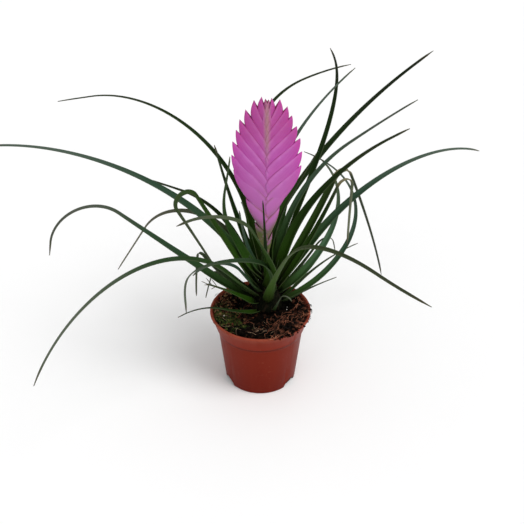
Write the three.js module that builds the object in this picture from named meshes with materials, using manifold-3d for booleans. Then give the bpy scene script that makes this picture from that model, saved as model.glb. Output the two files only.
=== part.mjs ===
// Potted pink-quill air plant: a rosette of long strap leaves and a flat pink flower spike,
// growing in bark mix in a small plastic nursery pot.
// Millimetres, +Z up, +X to the right as seen from the front, origin under the middle of the pot.
import * as THREE from 'three';
import Module from 'manifold-3d';

const wasm = await Module();
wasm.setup();

// Pot
const POT_HEIGHT = 72;
const RIM_RADIUS = 45;
const RIM_WIDTH = 1.8;
const RIM_DEPTH = 2.4;
const RIM_ROUNDING = 0.5;
const COLLAR_TOP_RADIUS = 43.9;
const COLLAR_BOTTOM_RADIUS = 38.5;
const COLLAR_HEIGHT = 20;
const BODY_TOP_RADIUS = 37.7;
const BODY_BOTTOM_RADIUS = 31.9;
const FOOT_ROUNDING = 0.8;
const STEP_HEIGHT = 0.8;
const WALL = 1.2;
const BOTTOM_THICKNESS = 1.6;
const POT_SIDES = 48;
const NOTCH_BEARINGS = [-34, 86, 206];
const NOTCH_WIDTH = 16;
const NOTCH_HEIGHT = 6.4;
const NOTCH_DEPTH = 10;
const NOTCH_OUTSIDE = 3;
const NOTCH_SHOULDER = 0.35;
const NOTCH_SEGMENTS = 5;

// Mix
const GAP = 0.3;
const SOIL_TOP = 65.5;
const SOIL_HEAP = 7;
const SOIL_HEAP_BEARING = -60;
const SOIL_HEAP_RISE = 1.5;
const SOIL_MOUND = 1.6;
const SOIL_MOUND_RADIUS = 18;
const SOIL_EDGE_INSET = 3;
const SOIL_LUMP = 0.7;
const SOIL_SMALL_LUMP = 0.4;
const SOIL_RINGS = 7;
const SOIL_SIDES = 40;

// Crown of the plant, its stem and the flower stalk
const CROWN_X = 6;
const CROWN_Y = 12;
const STEM_FOOT_RADIUS = 14.2;
const STEM_FOOT_ROUNDING = 1;
const STEM_TOP_RADIUS = 4.8;
const STEM_FOOT_HEIGHT = 68.5;
const STEM_TOP_HEIGHT = 105;
const ROOT_RADIUS = 5;
const ROOT_DEPTH = 22;
const STALK_RADIUS = 2.2;
const STALK_SEAT_DEPTH = 8;
const ROUND_SIDES = 20;

// Flower spike: a flat paddle of bracts in two ranks that lap over each other from below
const SPIKE_BASE = 118;
const SPIKE_OUTLINE_BASE = 127;
const SPIKE_LENGTH = 146;
const SPIKE_WIDEST_AT = 90;
const SPIKE_HALF_WIDTH = 29;
const SPIKE_FOOT_HALF_WIDTH = 2;
const SPIKE_FLARE = 1.2;
const BRACTS_RIGHT = 10;
const BRACTS_LEFT = 9;
const BRACT_START_RIGHT = 0.6;
const BRACT_START_LEFT = 1;
const BRACT_PITCH = 3;
const BRACT_PITCH_GROWTH = 1.66;
const BRACT_DROP = 25;
const BRACT_SHEATH = 22;
const BRACT_TIP = 0.9;
const BRACT_EDGE_BOW = 0.85;
const BRACT_SUNK = 1;
const BRACT_LIFT = 1.1;
const BRACT_LIFT_FADES = 0.6;
const AXIS_FOOT_RADIUS = 2.6;
const AXIS_RADIUS = 3.4;
const AXIS_TOP_RADIUS = 2;
const AXIS_ENDS_BELOW = 8;
const AXIS_SIDES = 8;
const PADDLE_EDGE = 0.8;
const PADDLE_MIDDLE = 3.6;
const BRACT_STATIONS = 7;
const BRACT_ROWS = 3;

// Colours
const POT_COLOUR = 0x9c4a35;
const SOIL_COLOUR = 0x2a1d16;
const STEM_COLOUR = 0x5e6b3a;
const STALK_COLOUR = 0x7d8f4a;
const SPIKE_COLOUR = 0xd45cb0;
const LEAF_COLOURS = [0x3c5a34, 0x2f4a34, 0x3f6150, 0x4a6436];

// Leaves
const BLADE_THICKNESS = 0.8;
const LEAF_STATIONS = 14;
const BEND_SHARE = 1;
const LEAF_TIP_WIDTH = 1;
const LEAF_NECK = 0.72;
const LEAF_NECK_LENGTH = 0.1;
const LEAF_TAPER = 0.75;
const FOLD_AT_BASE = 40;
const FOLD_ALONG = 17;
const FOLD_OPENS = 4;
const STEPS_PER_STATION = 8;

// Each leaf as measured on the plant, from the lowest and outermost to the youngest:
// length, width, the bearing it leaves the crown on (0 is right, 90 is the back), how far it swings
// round on its way, how steeply it rises, how far it droops, and where along it that bend starts and ends.
const LEAVES = [
  [90, 5, 238, -55, 30, 58, 0.56, 0.94],
  [86, 4, 24, -2, 38, 27, 0.3, 1],
  [34, 4, 297, 42, 66, 130, 0.6, 0.98],
  [55, 4, 355, 2, 35, 9, 0.3, 1],
  [79, 4, 183, -53, 42, 115, 0.48, 0.6],
  [204, 9, 348, 175, 36, 21, 0.26, 0.82],
  [246, 10, 201, -3, 46, 125, 0.66, 0.95],
  [60, 6, 222, -30, 43, 16, 0.33, 1],
  [110, 7, 88, 10, 36, 60, 0.2, 1],
  [90, 7, 134, -30, 44, 80, 0.2, 1],
  [89, 5, 28, 14, 43, 118, 0.6, 0.89],
  [274, 9, 275, 46, 55, 61, 0.37, 0.83],
  [118, 5, 189, -95, 37, 117, 0.49, 0.57],
  [157, 9.5, 3, 125, 43, 30, 0.25, 1],
  [276, 10, 217, 11, 51, 108, 0.18, 1],
  [140, 8, 74, 8, 50, 80, 0.2, 1],
  [110, 7, 110, -14, 50, 80, 0.2, 1],
  [261, 10, 24, 13, 51, 78, 0.17, 1],
  [174, 9, 284, -184, 67, 164, 0.22, 0.93],
  [191, 8, 355, 60, 63, 155, 0.58, 0.69],
  [84, 8.5, 222, -35, 58, 103, 0.43, 0.97],
  [294, 8, 26, 37, 57, 121, 0.36, 0.44],
  [228, 11, 198, 18, 64, 180, 0.52, 0.65],
  [165, 9, 96, -4, 58, 90, 0.15, 1],
  [204, 8, 158, 9, 63, 122, 0.18, 0.71],
  [278, 10, 43, 56, 65, 64, 0.06, 0.89],
  [167, 11, 283, -120, 62, 92, 0.57, 0.94],
  [284, 10, 186, -22, 69, 82, 0, 1],
  [190, 12, 4, 24, 80, 65, 0.11, 0.9],
  [280, 9, 121, -101, 60, 56, 0.03, 0.8],
  [141, 7, 157, 7, 61, 50, 0.32, 0.76],
  [312, 10, 71, -35, 72.5, 55, 0.08, 0.2],
  [131, 7, 190, 31, 66, -36, 0.46, 0.77],
  [128, 7.2, 159, 1, 69, -7, 0.05, 1],
  [209, 9.6, 38, -20, 77, 52, 0.13, 0.66],
  [96, 5, 266, -6, 74, 0, 0.5, 1],
  [62, 3.6, 70, -14, 76, 13, 0.2, 1],
  [67, 6, 183, -10, 67, -18, 0.05, 1],
  [206, 9, 97, -81, 83, 44, 0.02, 0.42],
  [281, 10, 152, 6, 77, 94, 0.18, 0.87],
  [115, 7, 48, 5, 87, 51, 0.12, 0.63],
];

const radians = THREE.MathUtils.degToRad;
const clamp = THREE.MathUtils.clamp;
const lerp = THREE.MathUtils.lerp;

// A plain surface from points and triangles.
function surface(points, triangles) {
  const geometry = new THREE.BufferGeometry();
  const flat = points.flatMap((p) => [p.x, p.y, p.z]);
  geometry.setAttribute('position', new THREE.Float32BufferAttribute(flat, 3));
  geometry.setIndex(triangles.flat());
  return geometry;
}

// A closed solid through rings of points, with flat ends.
// The strips in flipped are split along their other diagonal.
function loft(rings, flipped = []) {
  const count = rings[0].length;
  const triangles = [];
  for (let i = 0; i < rings.length - 1; i += 1) {
    for (let j = 0; j < count; j += 1) {
      const a = i * count + j;
      const b = i * count + (j + 1) % count;
      const c = b + count;
      const d = a + count;
      if (flipped.includes(j)) triangles.push([a, b, d], [b, c, d]);
      else triangles.push([a, b, c], [a, c, d]);
    }
  }
  const last = (rings.length - 1) * count;
  for (let j = 1; j < count - 1; j += 1) {
    triangles.push([0, j + 1, j]);
    triangles.push([last, last + j, last + j + 1]);
  }
  return surface(rings.flat(), triangles);
}

// A turned solid about the vertical through x, y; the outline starts and ends on the axis.
function turned(outline, sides, x = 0, y = 0) {
  const points = outline.map(([radius, height]) => new THREE.Vector2(radius, height));
  const geometry = new THREE.LatheGeometry(points, sides);
  geometry.rotateX(Math.PI / 2);
  geometry.translate(x, y, 0);
  return geometry;
}

// To and from the solid modeller, which joins and cuts.
function toSolid(geometry) {
  const position = geometry.getAttribute('position');
  const keys = new Map();
  const vertices = [];
  const corner = (k) => {
    const xyz = [position.getX(k), position.getY(k), position.getZ(k)];
    const key = xyz.map((v) => Math.round(v * 1e4)).join();
    if (!keys.has(key)) {
      keys.set(key, keys.size);
      vertices.push(...xyz);
    }
    return keys.get(key);
  };
  const triangles = [];
  const index = geometry.getIndex();
  const count = index ? index.count : position.count;
  const pick = (k) => (index ? index.getX(k) : k);
  for (let k = 0; k < count; k += 3) {
    const [a, b, c] = [0, 1, 2].map((n) => corner(pick(k + n)));
    if (a !== b && b !== c && c !== a) triangles.push(a, b, c);
  }
  return new wasm.Manifold(new wasm.Mesh({
    numProp: 3,
    vertProperties: new Float32Array(vertices),
    triVerts: new Uint32Array(triangles),
  }));
}

function fromSolid(solid) {
  const mesh = solid.getMesh();
  const geometry = new THREE.BufferGeometry();
  const flat = new Float32Array(mesh.vertProperties);
  geometry.setAttribute('position', new THREE.BufferAttribute(flat, 3));
  geometry.setIndex(Array.from(mesh.triVerts));
  return geometry;
}

// Wall radius of the pot at a height, inside the collar or the body.
function innerRadius(height) {
  const collarBottom = POT_HEIGHT - COLLAR_HEIGHT;
  if (height > collarBottom) {
    const up = (height - collarBottom) / COLLAR_HEIGHT;
    return lerp(COLLAR_BOTTOM_RADIUS, COLLAR_TOP_RADIUS, up) - WALL;
  }
  return lerp(BODY_BOTTOM_RADIUS, BODY_TOP_RADIUS, height / collarBottom) - WALL;
}

// An arch that opens the foot of the wall and the edge of the bottom plate.
function notch(bearing) {
  const shape = new THREE.Shape();
  const half = NOTCH_WIDTH / 2;
  const shoulder = NOTCH_HEIGHT * NOTCH_SHOULDER;
  const [steep, flat] = [half * 0.9, half * 0.5];
  shape.moveTo(-half, -1);
  shape.lineTo(half, -1);
  shape.lineTo(half, shoulder);
  shape.bezierCurveTo(steep, NOTCH_HEIGHT, flat, NOTCH_HEIGHT, 0, NOTCH_HEIGHT);
  shape.bezierCurveTo(-flat, NOTCH_HEIGHT, -steep, NOTCH_HEIGHT, -half, shoulder);
  const cutter = new THREE.ExtrudeGeometry(shape, {
    depth: NOTCH_DEPTH,
    bevelEnabled: false,
    curveSegments: NOTCH_SEGMENTS,
  });
  cutter.rotateX(Math.PI / 2);
  cutter.translate(0, BODY_BOTTOM_RADIUS + NOTCH_OUTSIDE, 0);
  cutter.rotateZ(radians(bearing - 90));
  return cutter;
}

function pot() {
  const collarBottom = POT_HEIGHT - COLLAR_HEIGHT;
  const rimBottom = POT_HEIGHT - RIM_DEPTH;
  const body = toSolid(turned([
    [0, 0],
    [BODY_BOTTOM_RADIUS - FOOT_ROUNDING, 0],
    [BODY_BOTTOM_RADIUS, FOOT_ROUNDING],
    [BODY_TOP_RADIUS, collarBottom - STEP_HEIGHT],
    [COLLAR_BOTTOM_RADIUS, collarBottom],
    [COLLAR_TOP_RADIUS, rimBottom],
    [RIM_RADIUS, rimBottom + RIM_ROUNDING],
    [RIM_RADIUS, POT_HEIGHT - RIM_ROUNDING],
    [RIM_RADIUS - RIM_ROUNDING, POT_HEIGHT],
    [RIM_RADIUS - RIM_WIDTH, POT_HEIGHT],
    [innerRadius(rimBottom), rimBottom],
    [innerRadius(collarBottom + 1), collarBottom + 1],
    [innerRadius(collarBottom), collarBottom],
    [innerRadius(BOTTOM_THICKNESS), BOTTOM_THICKNESS],
    [0, BOTTOM_THICKNESS],
  ], POT_SIDES));
  const cut = NOTCH_BEARINGS.reduce((rest, bearing) => rest.subtract(toSolid(notch(bearing))), body);
  return fromSolid(cut);
}

// Height of the mix over a spot: uneven, a little higher round the crown and heaped towards the
// front right.
function soilHeight(x, y) {
  const bearing = radians(SOIL_HEAP_BEARING);
  const towards = (x * Math.cos(bearing) + y * Math.sin(bearing)) / RIM_RADIUS;
  const heap = SOIL_HEAP * Math.max(0, towards) ** SOIL_HEAP_RISE;
  const fromCrown = Math.hypot(x - CROWN_X, y - CROWN_Y) / SOIL_MOUND_RADIUS;
  const mound = SOIL_MOUND * Math.exp(-fromCrown * fromCrown);
  const lumps = SOIL_LUMP * Math.sin(x * 0.31 + 1) * Math.cos(y * 0.27);
  const smallLumps = SOIL_SMALL_LUMP * Math.sin(x * 0.7 - y * 0.5);
  return SOIL_TOP + heap + mound + lumps + smallLumps;
}

function soil() {
  const foot = BOTTOM_THICKNESS + GAP;
  const collarBottom = POT_HEIGHT - COLLAR_HEIGHT;
  const points = [new THREE.Vector3(0, 0, foot)];
  const rings = [];
  const ring = (at) => {
    rings.push(points.length);
    for (let k = 0; k < SOIL_SIDES; k += 1) {
      const turn = (2 * Math.PI * k) / SOIL_SIDES;
      points.push(at(Math.cos(turn), Math.sin(turn)));
    }
  };
  const level = (height) => ring((c, s) => {
    const radius = innerRadius(height) - GAP;
    return new THREE.Vector3(radius * c, radius * s, height);
  });
  level(foot);
  level(collarBottom);
  level(collarBottom + 1);
  const edge = innerRadius(SOIL_TOP - SOIL_EDGE_INSET) - GAP;
  for (let r = SOIL_RINGS; r > 0; r -= 1) {
    const radius = (edge * r) / SOIL_RINGS;
    ring((c, s) => new THREE.Vector3(radius * c, radius * s, soilHeight(radius * c, radius * s)));
  }
  points.push(new THREE.Vector3(0, 0, soilHeight(0, 0)));
  const triangles = [];
  for (let k = 0; k < SOIL_SIDES; k += 1) {
    const next = (k + 1) % SOIL_SIDES;
    triangles.push([0, rings[0] + next, rings[0] + k]);
    for (let r = 0; r < rings.length - 1; r += 1) {
      const [a, b] = [rings[r] + k, rings[r] + next];
      const [c, d] = [rings[r + 1] + next, rings[r + 1] + k];
      triangles.push([a, b, c], [a, c, d]);
    }
    const top = rings[rings.length - 1];
    triangles.push([points.length - 1, top + k, top + next]);
  }
  const bottom = STEM_FOOT_HEIGHT - ROOT_DEPTH - GAP;
  const hole = turned([
    [0, bottom],
    [ROOT_RADIUS + GAP, bottom],
    [ROOT_RADIUS + GAP, POT_HEIGHT],
    [0, POT_HEIGHT],
  ], ROUND_SIDES, CROWN_X, CROWN_Y);
  return fromSolid(toSolid(surface(points, triangles)).subtract(toSolid(hole)));
}

// The short stem: a root plug in its hole and a cone that the leaves sit around.
function stem() {
  const seat = STEM_TOP_HEIGHT - STALK_SEAT_DEPTH;
  return turned([
    [0, STEM_FOOT_HEIGHT - ROOT_DEPTH],
    [ROOT_RADIUS, STEM_FOOT_HEIGHT - ROOT_DEPTH],
    [ROOT_RADIUS, STEM_FOOT_HEIGHT],
    [STEM_FOOT_RADIUS - STEM_FOOT_ROUNDING, STEM_FOOT_HEIGHT],
    [STEM_FOOT_RADIUS, STEM_FOOT_HEIGHT + STEM_FOOT_ROUNDING],
    [STEM_TOP_RADIUS, STEM_TOP_HEIGHT],
    [STALK_RADIUS + GAP, STEM_TOP_HEIGHT],
    [STALK_RADIUS + GAP, seat - GAP],
    [0, seat - GAP],
  ], ROUND_SIDES, CROWN_X, CROWN_Y);
}

function flowerStalk() {
  const seat = STEM_TOP_HEIGHT - STALK_SEAT_DEPTH;
  return turned([
    [0, seat],
    [STALK_RADIUS, seat],
    [STALK_RADIUS, SPIKE_BASE - GAP],
    [0, SPIKE_BASE - GAP],
  ], ROUND_SIDES, CROWN_X, CROWN_Y);
}

// Half width of the paddle at a height above its foot.
function paddleHalfWidth(height) {
  if (height < SPIKE_WIDEST_AT) {
    const flare = Math.max(0, height / SPIKE_WIDEST_AT) ** SPIKE_FLARE;
    return lerp(SPIKE_FOOT_HALF_WIDTH, SPIKE_HALF_WIDTH, flare);
  }
  const over = (height - SPIKE_WIDEST_AT) / (SPIKE_LENGTH - SPIKE_WIDEST_AT);
  return SPIKE_HALF_WIDTH * Math.sqrt(Math.max(0, 1 - over * over));
}

// One bract, folded on its outer edge: from the axis its free edge climbs to a point at the rim of the
// paddle, and its keel comes up from lower on the axis to the same point.
function bract(side, tipHeight) {
  const tip = paddleHalfWidth(tipHeight);
  const axisHeight = tipHeight - BRACT_DROP;
  const footHeight = Math.max(SPIKE_BASE - SPIKE_OUTLINE_BASE, axisHeight - BRACT_SHEATH);
  const front = [];
  const back = [];
  for (let i = 0; i < BRACT_STATIONS; i += 1) {
    const t = i / (BRACT_STATIONS - 1);
    const freeEdge = new THREE.Vector2(tip * t, lerp(axisHeight, tipHeight, t ** BRACT_EDGE_BOW));
    const keel = new THREE.Vector2(
      tip * Math.sin(t * Math.PI / 2),
      lerp(footHeight, tipHeight - BRACT_TIP, t),
    );
    for (let j = 0; j < BRACT_ROWS; j += 1) {
      const q = j / (BRACT_ROWS - 1);
      const at = keel.clone().lerp(freeEdge, q);
      const lift = BRACT_LIFT * q * (1 - BRACT_LIFT_FADES * t);
      const half = lerp(PADDLE_MIDDLE, PADDLE_EDGE, clamp(at.x / SPIKE_HALF_WIDTH, 0, 1)) + lift;
      const x = CROWN_X + side * (at.x - (i === 0 ? BRACT_SUNK : 0));
      const z = SPIKE_OUTLINE_BASE + at.y;
      front.push(new THREE.Vector3(x, CROWN_Y - half, z));
      back.push(new THREE.Vector3(x, CROWN_Y + half, z));
    }
  }
  return shell(front, back, BRACT_ROWS, side > 0);
}

// A closed solid between two like grids of points, both split along the same diagonals.
function shell(front, back, rows, mirrored) {
  const stations = front.length / rows;
  const triangles = [];
  const offset = front.length;
  const quad = (a, b, c, d) => triangles.push([a, b, c], [a, c, d]);
  for (let i = 0; i < stations - 1; i += 1) {
    for (let j = 0; j < rows - 1; j += 1) {
      const a = i * rows + j;
      const [b, c, d] = [a + rows, a + rows + 1, a + 1];
      quad(a, b, c, d);
      triangles.push([a + offset, c + offset, b + offset], [a + offset, d + offset, c + offset]);
    }
    const [low, high] = [i * rows, i * rows + rows - 1];
    quad(low, low + offset, low + rows + offset, low + rows);
    quad(high, high + rows, high + rows + offset, high + offset);
  }
  for (let j = 0; j < rows - 1; j += 1) {
    const end = (stations - 1) * rows + j;
    quad(j, j + 1, j + 1 + offset, j + offset);
    quad(end, end + offset, end + 1 + offset, end + 1);
  }
  const turnedOut = mirrored ? triangles : triangles.map(([a, b, c]) => [a, c, b]);
  return surface([...front, ...back], turnedOut);
}

function flowerSpike() {
  const tipHeight = (count) => SPIKE_LENGTH - BRACT_PITCH * count ** BRACT_PITCH_GROWTH;
  const top = SPIKE_OUTLINE_BASE + SPIKE_LENGTH - AXIS_ENDS_BELOW;
  const axis = turned([
    [0, SPIKE_BASE],
    [AXIS_FOOT_RADIUS, SPIKE_BASE],
    [AXIS_RADIUS, SPIKE_OUTLINE_BASE + BRACT_SHEATH],
    [AXIS_TOP_RADIUS, top - AXIS_TOP_RADIUS],
    [0, top],
  ], AXIS_SIDES, CROWN_X, CROWN_Y);
  let spike = toSolid(axis);
  for (let k = 0; k < BRACTS_RIGHT; k += 1) {
    spike = spike.add(toSolid(bract(1, tipHeight(k + BRACT_START_RIGHT))));
  }
  for (let k = 0; k < BRACTS_LEFT; k += 1) {
    spike = spike.add(toSolid(bract(-1, tipHeight(k + BRACT_START_LEFT))));
  }
  return fromSolid(spike);
}

// Places along a leaf from 0 to 1, closer together where it bends.
function stations(from, to) {
  const pace = 1 + BEND_SHARE / (to - from);
  const places = [0];
  for (let k = 1; k <= LEAF_STATIONS; k += 1) {
    const spent = (k / LEAF_STATIONS) * (1 + BEND_SHARE);
    if (spent <= from) places.push(spent);
    else if (spent < to + BEND_SHARE) places.push(from + (spent - from) / pace);
    else places.push(spent - BEND_SHARE);
  }
  return places;
}

// How far from the stem's axis the middle of a leaf's foot stands, so that its folded sides just
// clear the stem.
function footRadius(stemRadius, width, rise) {
  const clear = stemRadius + GAP + BLADE_THICKNESS / 2;
  const arm = (width * LEAF_NECK) / 2;
  const out = arm * Math.sin(radians(FOLD_AT_BASE)) * Math.sin(radians(rise));
  const aside = arm * Math.cos(radians(FOLD_AT_BASE));
  const lean = Math.atan2(out, aside);
  if (clear * Math.tan(lean) < Math.hypot(out, aside)) return clear / Math.cos(lean);
  return out + Math.sqrt(clear * clear - aside * aside);
}

function leaf(order, [length, width, bearing, swing, rise, droop, bendFrom, bendTo]) {
  const young = order / (LEAVES.length - 1);
  const foot = footRadius(lerp(STEM_FOOT_RADIUS, STEM_TOP_RADIUS, young), width, rise);
  const out = radians(bearing);
  const at = new THREE.Vector3(
    CROWN_X + foot * Math.cos(out),
    CROWN_Y + foot * Math.sin(out),
    lerp(STEM_FOOT_HEIGHT + STEM_FOOT_ROUNDING, STEM_TOP_HEIGHT, young),
  );
  const headingAt = (s) => radians(bearing + swing * s);
  const forwardAt = (s) => {
    const bent = clamp((s - bendFrom) / (bendTo - bendFrom), 0, 1);
    const pitch = radians(rise - droop * bent);
    const level = Math.cos(pitch);
    return new THREE.Vector3(level * Math.cos(headingAt(s)), level * Math.sin(headingAt(s)), Math.sin(pitch));
  };
  let s = 0;
  const rings = stations(bendFrom, bendTo).map((place) => {
    const step = (place - s) / STEPS_PER_STATION;
    for (let k = 0; k < STEPS_PER_STATION; k += 1) {
      at.addScaledVector(forwardAt(s + step * (k + 0.5)), step * length);
    }
    s = place;
    const across = new THREE.Vector3(-Math.sin(headingAt(s)), Math.cos(headingAt(s)), 0);
    const up = forwardAt(s).cross(across);
    return bladeSection(at, across, up, s, width);
  });
  return loft(rings, [3, 4]);
}

// The folded section of a blade at a place along it.
function bladeSection(at, across, up, s, width) {
  const neck = lerp(LEAF_NECK, 1, Math.min(1, s / LEAF_NECK_LENGTH));
  const half = Math.max(LEAF_TIP_WIDTH, width * neck * (1 - s) ** LEAF_TAPER) / 2;
  const fold = radians(lerp(FOLD_ALONG, FOLD_AT_BASE, (1 - s) ** FOLD_OPENS));
  const point = (side, level) => at.clone()
    .addScaledVector(across, side * half * Math.cos(fold))
    .addScaledVector(up, Math.abs(side) * half * Math.sin(fold) + level);
  const level = BLADE_THICKNESS / 2;
  return [
    point(1, level), point(0, level), point(-1, level),
    point(-1, -level), point(0, -level), point(1, -level),
  ];
}

function node(name, geometry, colour, roughness) {
  const material = new THREE.MeshStandardMaterial({ color: colour, roughness, metalness: 0 });
  const mesh = new THREE.Mesh(geometry, material);
  mesh.name = name;
  return mesh;
}

const plant = new THREE.Group();
plant.name = 'potted_tillandsia';
plant.add(node('pot', pot(), POT_COLOUR, 0.5));
plant.add(node('soil', soil(), SOIL_COLOUR, 0.95));
plant.add(node('stem', stem(), STEM_COLOUR, 0.7));
plant.add(node('flower_stalk', flowerStalk(), STALK_COLOUR, 0.6));
plant.add(node('flower_spike', flowerSpike(), SPIKE_COLOUR, 0.6));
LEAVES.forEach((row, order) => {
  const name = `leaf_${String(order + 1).padStart(2, '0')}`;
  plant.add(node(name, leaf(order, row), LEAF_COLOURS[order % LEAF_COLOURS.length], 0.5));
});

export default plant;
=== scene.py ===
# The looks of a potted pink-quill air plant: a rosette of long strap leaves and a flat pink flower
# spike, in bark mix in a terracotta-coloured nursery pot. Metres, +Z up, the pot's underside on z = 0.
import math
import random

import bmesh
import bpy
from mathutils import Matrix, Vector, noise


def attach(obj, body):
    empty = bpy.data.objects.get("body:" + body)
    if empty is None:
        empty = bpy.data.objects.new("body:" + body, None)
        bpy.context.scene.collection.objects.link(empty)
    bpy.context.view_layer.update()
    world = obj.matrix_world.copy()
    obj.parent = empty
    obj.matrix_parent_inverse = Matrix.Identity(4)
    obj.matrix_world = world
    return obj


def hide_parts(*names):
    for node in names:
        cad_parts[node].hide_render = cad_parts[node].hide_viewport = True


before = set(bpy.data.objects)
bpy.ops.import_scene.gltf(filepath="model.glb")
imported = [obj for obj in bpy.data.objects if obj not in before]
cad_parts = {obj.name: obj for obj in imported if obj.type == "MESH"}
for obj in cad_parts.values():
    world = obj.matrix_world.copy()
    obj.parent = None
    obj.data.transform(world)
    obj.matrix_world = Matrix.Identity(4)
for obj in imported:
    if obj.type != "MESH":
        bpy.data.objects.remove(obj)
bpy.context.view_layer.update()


# Camera, floor and light. The view is the photograph's: from 0.87 m, looking down by 34 degrees at the
# foot of the flower spike, on a plain near-white floor, under a broad soft light from above and the right.
CAMERA_PLACE = (0, -0.7225, 0.6086)
CAMERA_LOOKS_DOWN = 33.94
CAMERA_TURN = -0.114
CAMERA_LENS, CAMERA_SENSOR = 69.18, 36
STUDIO_BRIGHTNESS = 0.59
FLOOR_HALF_SIZE, FLOOR_BELOW_POT = 6, 0.0002

scene = bpy.context.scene
camera = bpy.data.objects.new("camera", bpy.data.cameras.new("camera"))
scene.collection.objects.link(camera)
camera.location = CAMERA_PLACE
camera.rotation_euler = (math.radians(90 - CAMERA_LOOKS_DOWN), 0, math.radians(CAMERA_TURN))
camera.data.sensor_width = CAMERA_SENSOR
camera.data.lens = CAMERA_LENS
scene.camera = camera
scene.view_settings.view_transform = "Standard"


def light(name, kind, energy, towards, **settings):
    """A lamp that shines in a direction."""
    lamp = bpy.data.objects.new(name, bpy.data.lights.new(name, kind))
    scene.collection.objects.link(lamp)
    lamp.data.energy = energy
    for key, value in settings.items():
        setattr(lamp.data, key, value)
    lamp.rotation_euler = Vector(towards).to_track_quat("-Z", "Y").to_euler()


light("key", "SUN", 1.7, (-0.55, 0.35, -0.95), angle=math.radians(35))
light("front_fill", "SUN", 0.35, (0.25, 0.85, -0.6), angle=math.radians(60))
world = bpy.data.worlds.new("studio")
world.use_nodes = True
surround = world.node_tree.nodes["Background"]
surround.inputs["Color"].default_value = (1, 1, 1, 1)
surround.inputs["Strength"].default_value = STUDIO_BRIGHTNESS
scene.world = world


def add_node(tree, kind, inputs=None, **settings):
    """A shader node with its settings; an input is given as a value or as the socket that feeds it."""
    node = tree.nodes.new("ShaderNode" + kind)
    for key, value in settings.items():
        setattr(node, key, value)
    for key, value in (inputs or {}).items():
        if isinstance(value, bpy.types.NodeSocket):
            tree.links.new(value, node.inputs[key])
        else:
            node.inputs[key].default_value = value
    return node


def new_material(name, roughness=0.5, **plain):
    """A material, its node tree and its Principled shader, whose plain values are set on the sockets."""
    material = bpy.data.materials.new(name)
    material.use_nodes = True
    shader = material.node_tree.nodes["Principled BSDF"]
    shader.inputs["Roughness"].default_value = roughness
    for key, value in plain.items():
        shader.inputs[key.replace("_", " ")].default_value = value
    return material, material.node_tree, shader


def ramp(tree, mask, *stops):
    """A colour ramp over a mask, with stops of place and colour."""
    node = add_node(tree, "ValToRGB", {"Fac": mask})
    elements = node.color_ramp.elements
    while len(elements) < len(stops):
        elements.new(0.5)
    for element, (place, colour) in zip(elements, stops):
        element.position = place
        element.color = (*colour, 1)
    return node.outputs["Color"]


def object_place(tree):
    """The spot on the surface, in the object's own metres."""
    return add_node(tree, "TexCoord").outputs["Object"]


def object_from(bm, name, *materials, smooth=True):
    """The finished bmesh as an object at the origin."""
    mesh = bpy.data.meshes.new(name)
    bm.to_mesh(mesh)
    bm.free()
    for material in materials:
        mesh.materials.append(material)
    for polygon in mesh.polygons:
        polygon.use_smooth = smooth
    piece = bpy.data.objects.new(name, mesh)
    scene.collection.objects.link(piece)
    return piece


floor_material, tree, shader = new_material("studio_floor", roughness=0.9)
grain = add_node(tree, "TexNoise", {"Vector": object_place(tree), "Scale": 3.0}).outputs["Fac"]
floor_white = ramp(tree, grain, (0.3, (0.93, 0.93, 0.93)), (0.7, (0.94, 0.94, 0.94)))
tree.links.new(floor_white, shader.inputs["Base Color"])
bm = bmesh.new()
bmesh.ops.create_grid(bm, x_segments=4, y_segments=4, size=FLOOR_HALF_SIZE)
bmesh.ops.translate(bm, vec=(0, 0, -FLOOR_BELOW_POT), verts=bm.verts)
object_from(bm, "floor", floor_material)


# Pot. A thin nursery pot moulded in one piece of red-brown plastic: tapered body, small step, flared
# collar, rolled rim, flat bottom, and three arched drainage notches cut into its bottom edge. Sizes from
# here on are in millimetres.
MM = 0.001
POT_HEIGHT = 72
RIM_RADIUS = 45
RIM_DEPTH = 2.4
COLLAR_HEIGHT = 20
COLLAR_TOP_RADIUS = 43.9
COLLAR_BOTTOM_RADIUS = 38.5
BODY_TOP_RADIUS = 37.7
BODY_BOTTOM_RADIUS = 31.9
WALL = 1.2
COLLAR_FOOT = POT_HEIGHT - COLLAR_HEIGHT
COLLAR_LINE = COLLAR_FOOT + 3.4
COLLAR_FLARE = COLLAR_TOP_RADIUS - COLLAR_BOTTOM_RADIUS
POT_ROUND_STEPS = 144
NOTCH_BEARINGS = (-34, 86, 206)
NOTCH_RADIUS, NOTCH_SQUASH, NOTCH_CUT_LENGTH = 8, 0.8, 10
NOTCH_CUT_START = BODY_BOTTOM_RADIUS - 7


def turned(outline, steps, x=0, y=0):
    """A bmesh turned about the vertical through x, y from an outline of radius and height in mm."""
    bm = bmesh.new()
    verts = [bm.verts.new((radius * MM, 0, height * MM)) for radius, height in outline]
    edges = [bm.edges.new(pair) for pair in zip(verts, verts[1:])]
    bmesh.ops.spin(bm, geom=verts + edges, cent=(0, 0, 0), axis=(0, 0, 1), angle=2 * math.pi,
                   steps=steps, use_merge=True)
    bmesh.ops.remove_doubles(bm, verts=bm.verts, dist=1e-7)
    bmesh.ops.recalc_face_normals(bm, faces=bm.faces)
    bmesh.ops.translate(bm, vec=(x * MM, y * MM, 0), verts=bm.verts)
    return bm


def collar_radius(height):
    """Outside of the flared collar at a height, in mm."""
    return COLLAR_BOTTOM_RADIUS + COLLAR_FLARE * (height - COLLAR_FOOT) / COLLAR_HEIGHT


def pot_inner_radius(height):
    """Inside of the wall at a height, in mm."""
    if height > COLLAR_FOOT:
        return collar_radius(height) - WALL
    return BODY_BOTTOM_RADIUS + (BODY_TOP_RADIUS - BODY_BOTTOM_RADIUS) * height / COLLAR_FOOT - WALL


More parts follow.
